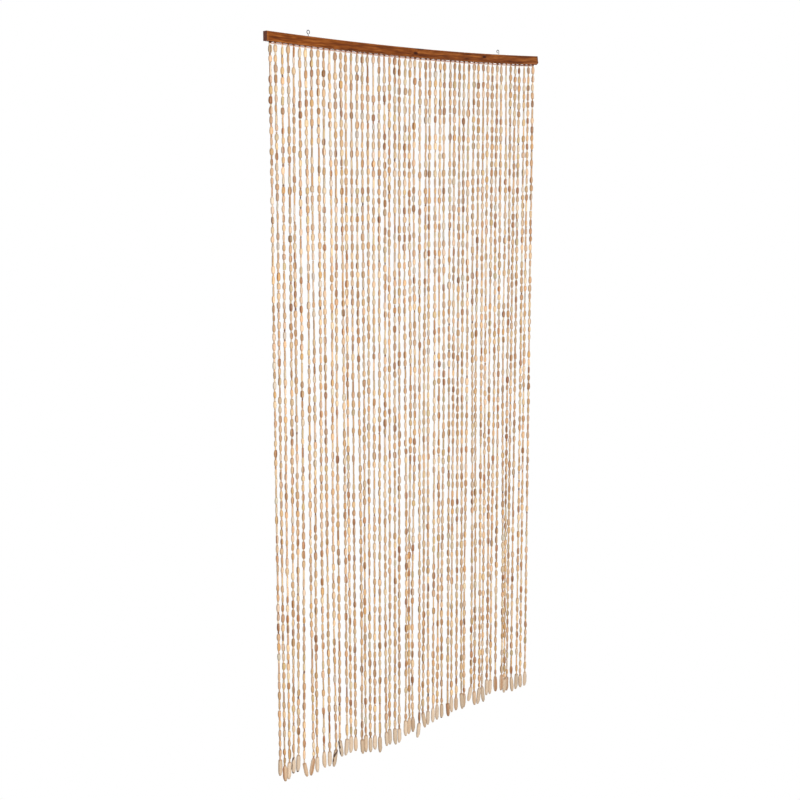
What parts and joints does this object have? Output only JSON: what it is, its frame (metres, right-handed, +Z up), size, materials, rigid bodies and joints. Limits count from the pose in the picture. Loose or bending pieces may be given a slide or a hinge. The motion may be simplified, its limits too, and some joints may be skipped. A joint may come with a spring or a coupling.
{
  "type": "bamboo bead door curtain under a wooden rail",
  "caption": "Door curtain of hanging bead strands, each ending in a long wooden drop, laced under a bowed wooden rail with screw eyes in its top.",
  "frame": {"origin": "middle of the rail's flat back face, halfway along and halfway up", "axes": "+X along the rail to the right as the curtain is seen from its front, +Y out of the rail's back face, +Z up"},
  "size_m": [1.0018, 0.0204, 2.0542],
  "materials": {
    "rail_wood": "reddish-brown varnish with dark streaks and two knots, satin",
    "steel": "plain steel wire, slightly dull",
    "strand_wood": "bare tan wood and bamboo beads, streaked lengthwise"
  },
  "bodies": {
    "root": {"rail": "rail_wood", "screw_eye_left": "steel", "screw_eye_right": "steel", "strands": "strand_wood"}
  },
  "joints": []
}
